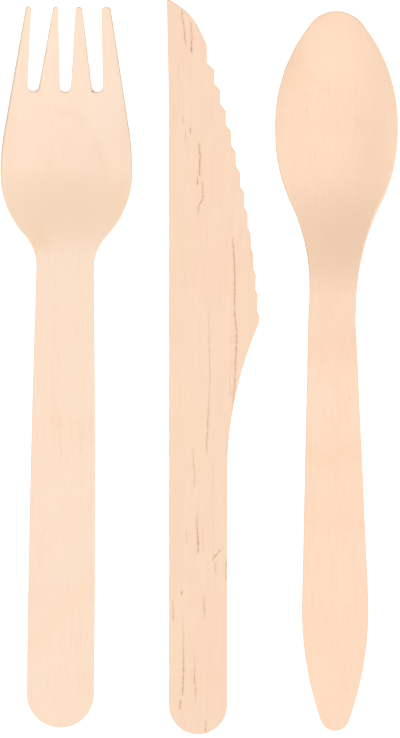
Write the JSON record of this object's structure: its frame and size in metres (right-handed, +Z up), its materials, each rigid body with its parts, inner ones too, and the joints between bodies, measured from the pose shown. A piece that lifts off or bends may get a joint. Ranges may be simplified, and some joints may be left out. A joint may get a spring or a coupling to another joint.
{
  "type": "wooden cutlery set",
  "caption": "Set of disposable wooden cutlery lying side by side: a fork, a knife with rounded saw teeth and a spoon, each cut from pale birch veneer, the fork and spoon pressed into shape.",
  "frame": {"origin": "middle of the row of utensils, on the surface they lie on", "axes": "+Y along the utensils from the butts of the handles to the tines, nose and bowl; +X from the fork to the spoon; +Z up"},
  "size_m": [0.0884, 0.1632, 0.0066],
  "materials": {
    "fork_birch": "smooth sawn birch veneer, uncoated, matt",
    "knife_birch": "smooth birch veneer with fine brown streaks, uncoated, matt",
    "spoon_birch": "smooth sawn birch veneer, uncoated, matt"
  },
  "bodies": {
    "root": {"fork": "fork_birch", "knife": "knife_birch", "spoon": "spoon_birch"}
  },
  "joints": []
}
